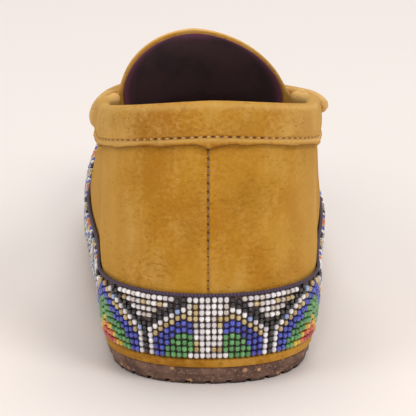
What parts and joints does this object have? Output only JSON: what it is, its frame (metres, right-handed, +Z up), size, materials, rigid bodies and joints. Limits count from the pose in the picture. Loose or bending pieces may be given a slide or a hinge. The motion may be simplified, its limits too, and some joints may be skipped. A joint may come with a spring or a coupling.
{
  "type": "beaded suede moccasin shoe, right foot",
  "caption": "Soft suede moccasin with a folded collar, a domed tongue tied down by a suede lace, a beaded band round its base and a thin rubber sole; covers the right foot.",
  "frame": {"origin": "on the floor under the middle of the heel", "axes": "+Z up, +Y from heel to toe, +X to the outer side of the right foot"},
  "size_m": [0.0883, 0.2509, 0.0992],
  "materials": {
    "rubber": "matt moulded rubber, dark brown with tan specks",
    "footbed": "thin padded cloth-covered footbed",
    "suede": "napped golden-tan suede",
    "beads": "opaque glass seed beads in many colours",
    "binding": "dark violet-grey cloth binding"
  },
  "bodies": {
    "root": {"outsole": "rubber", "insole": "footbed", "upper": "suede", "tongue": "suede", "collar_cuff": "suede", "apron": "suede", "rand": "suede", "bead_band": "beads", "band_binding": "binding", "lace_bars": "suede", "lace_knot": "suede", "lace_loop_medial": "suede", "lace_loop_lateral": "suede", "lace_end_medial": "suede", "lace_end_lateral": "suede"}
  },
  "joints": []
}
